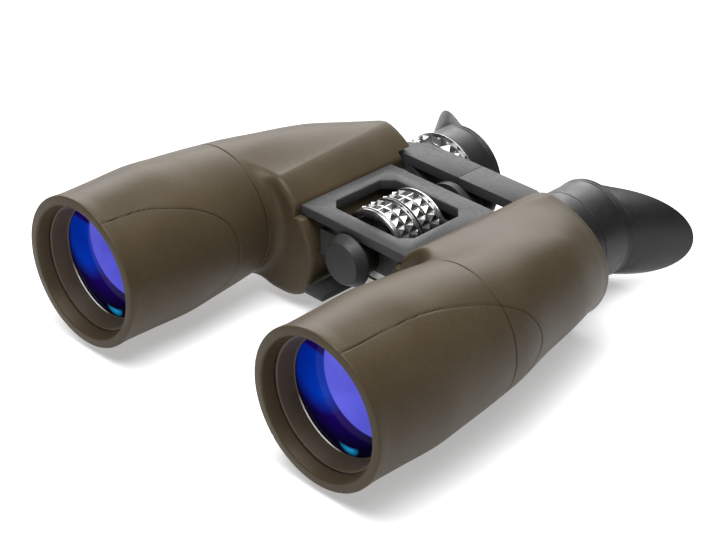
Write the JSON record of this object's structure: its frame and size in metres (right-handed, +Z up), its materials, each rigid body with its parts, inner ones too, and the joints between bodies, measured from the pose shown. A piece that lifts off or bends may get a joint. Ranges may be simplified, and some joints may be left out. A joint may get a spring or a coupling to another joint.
{
  "type": "binoculars",
  "caption": "Porro prism binoculars with rubber armour, a centre hinge, a focus wheel in a top plate, a dioptre ring and winged eyecups.",
  "frame": {"origin": "centre of the box's base, on the ground under the middle of the binoculars", "axes": "+Y from the objectives to the eyepieces, +X to the user's left, +Z up"},
  "size_m": [0.2038, 0.2174, 0.0691],
  "materials": {
    "armour_rubber": "matte taupe rubber skin, fine moulded grain",
    "black_alloy": "black satin paint over cast alloy",
    "dark_paint": "dark grey satin paint",
    "grey_paint": "mid grey satin paint",
    "eye_rubber": "soft dark grey rubber",
    "coated_glass": "polished glass with a deep blue coating",
    "optical_glass": "polished clear glass",
    "steel": "turned steel",
    "brass": "turned brass",
    "bright_chrome": "polished bright plating on knurled metal"
  },
  "bodies": {
    "right_half": {"armour_right": "armour_rubber", "housing_right": "black_alloy", "objective_cell_right": "black_alloy", "objective_lens_right": "coated_glass", "objective_ring_right": "dark_paint", "prism_front_right": "optical_glass", "prism_rear_right": "optical_glass", "prism_shelf_right": "dark_paint", "rear_cover_right": "black_alloy", "hinge_lug_front_right": "dark_paint", "hinge_lug_rear_right": "dark_paint", "frame_rail_right": "dark_paint", "top_plate": "grey_paint", "hinge_axle": "dark_paint", "tripod_socket": "brass", "hinge_washer_front": "brass", "hinge_washer_rear": "brass"},
    "left_half": {"armour_left": "armour_rubber", "housing_left": "black_alloy", "objective_cell_left": "black_alloy", "objective_lens_left": "coated_glass", "objective_ring_left": "dark_paint", "prism_front_left": "optical_glass", "prism_rear_left": "optical_glass", "prism_shelf_left": "dark_paint", "rear_cover_left": "black_alloy", "hinge_lug_front_left": "dark_paint", "hinge_lug_rear_left": "dark_paint", "frame_rail_left": "dark_paint"},
    "focus_wheel": {"focus_wheel": "bright_chrome"},
    "focus_carriage": {"focus_spindle": "steel", "spindle_nut": "steel", "bridge_arm_right": "grey_paint"},
    "ocular_right": {"ocular_tube_right": "black_alloy", "field_lens_right": "optical_glass", "field_stop_right": "black_alloy", "eye_lens_right": "optical_glass"},
    "dioptre_ring": {"dioptre_ring": "bright_chrome"},
    "eyecup_right": {"eyecup_right": "eye_rubber"},
    "carriage_left": {"bridge_arm_left": "grey_paint", "ocular_collar_left": "eye_rubber", "ocular_tube_left": "black_alloy", "field_lens_left": "optical_glass", "field_stop_left": "black_alloy", "eye_lens_left": "optical_glass"},
    "eyecup_left": {"eyecup_left": "eye_rubber"},
    "tripod_cap": {"tripod_cap": "dark_paint"}
  },
  "joints": [
    {"name": "fold", "type": "hinge", "parent": "right_half", "child": "left_half", "pos_m": [0, -0.0217, 0.036], "axis": [0, 1, 0], "range_deg": [0, 48]},
    {"name": "focus_travel", "type": "slide", "parent": "right_half", "child": "focus_carriage", "axis": [0, 1, 0], "range_m": [-0.0015, 0.006]},
    {"name": "focus_travel_left", "type": "slide", "parent": "left_half", "child": "carriage_left", "axis": [0, 1, 0], "range_m": [-0.0016, 0.0061]},
    {"name": "focus_turn", "type": "hinge", "parent": "right_half", "child": "focus_wheel", "pos_m": [0, 0.0032, 0.036], "axis": [0, 1, 0], "range_deg": [-80, 310]},
    {"name": "dioptre_travel", "type": "slide", "parent": "focus_carriage", "child": "ocular_right", "axis": [0, 1, 0], "range_m": [-0.0009, 0.0009]},
    {"name": "dioptre_turn", "type": "hinge", "parent": "focus_carriage", "child": "dioptre_ring", "pos_m": [-0.0373, 0.0623, 0.0233], "axis": [0, 1, 0], "range_deg": [-40, 40]},
    {"name": "eyecup_right_turn", "type": "hinge", "parent": "ocular_right", "child": "eyecup_right", "pos_m": [-0.0373, 0.0763, 0.0233], "axis": [0, 1, 0], "range_deg": [-30, 30]},
    {"name": "eyecup_left_turn", "type": "hinge", "parent": "carriage_left", "child": "eyecup_left", "pos_m": [0.0373, 0.0763, 0.0233], "axis": [0, 1, 0], "range_deg": [-30, 30]},
    {"name": "tripod_cap_off", "type": "slide", "parent": "right_half", "child": "tripod_cap", "axis": [0, -1, 0], "range_m": [0, 0.012]}
  ],
  "couplings": [
    {"joint": "focus_travel_left", "follows": "focus_travel", "ratio": 1},
    {"joint": "focus_turn", "follows": "focus_travel", "rad_per_m": 880},
    {"joint": "dioptre_turn", "follows": "dioptre_travel", "rad_per_m": 750}
  ]
}
